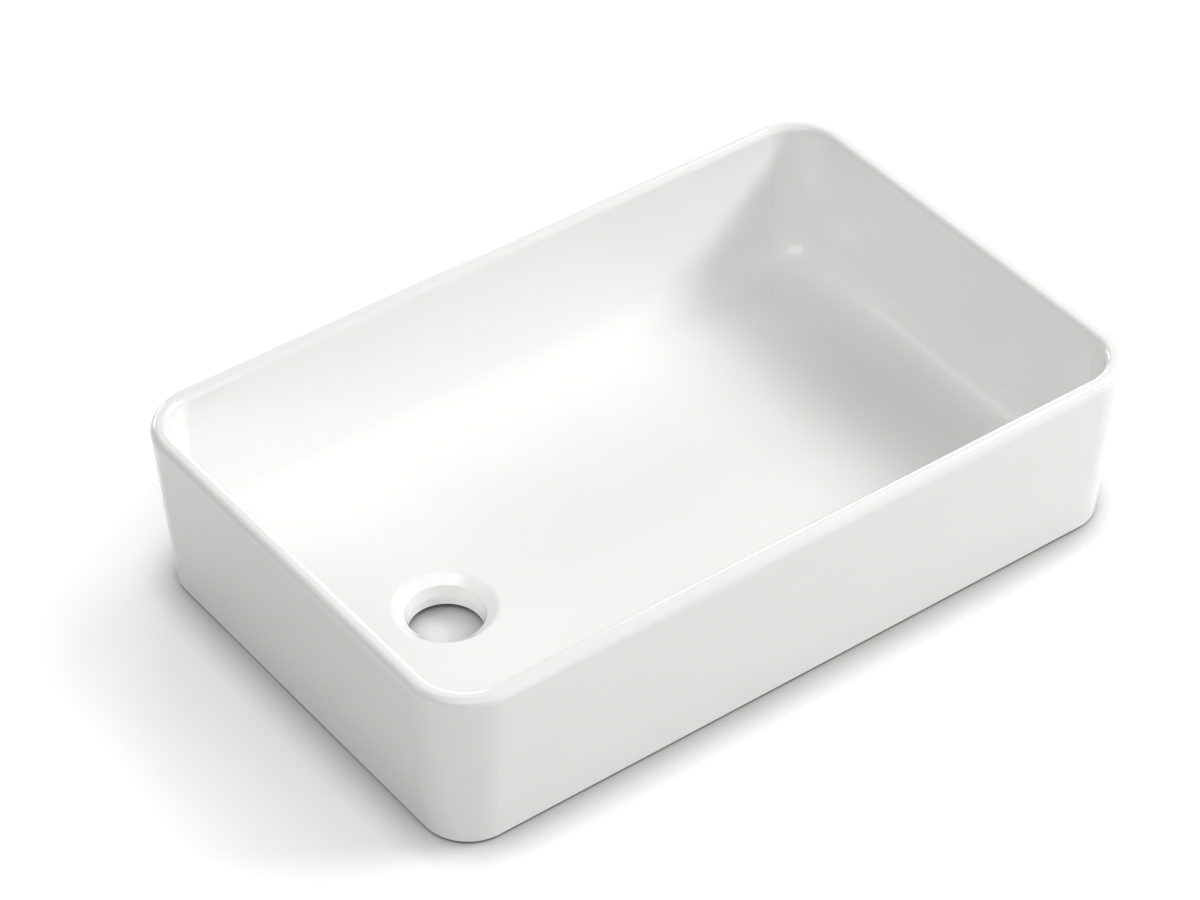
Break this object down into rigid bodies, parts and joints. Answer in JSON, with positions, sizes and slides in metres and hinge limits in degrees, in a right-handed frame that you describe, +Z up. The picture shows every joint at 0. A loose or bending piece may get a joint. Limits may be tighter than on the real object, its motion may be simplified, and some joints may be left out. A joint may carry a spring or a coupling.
{
  "type": "countertop basin",
  "caption": "Rectangular countertop wash basin in white glazed ceramic, with slim tapered walls, a flat floor and an open waste hole near one end.",
  "frame": {"origin": "middle of the foot ring's ground face, at the level of the counter", "axes": "+X along the length, away from the waste hole, +Y across the width towards the back, +Z up out of the bowl"},
  "size_m": [0.51, 0.328, 0.117],
  "materials": {
    "glaze": "glossy white glaze over vitreous china",
    "bisque": "unglazed fired clay, ground flat"
  },
  "bodies": {
    "root": {"basin": "glaze", "foot_ring": "bisque"}
  },
  "joints": []
}
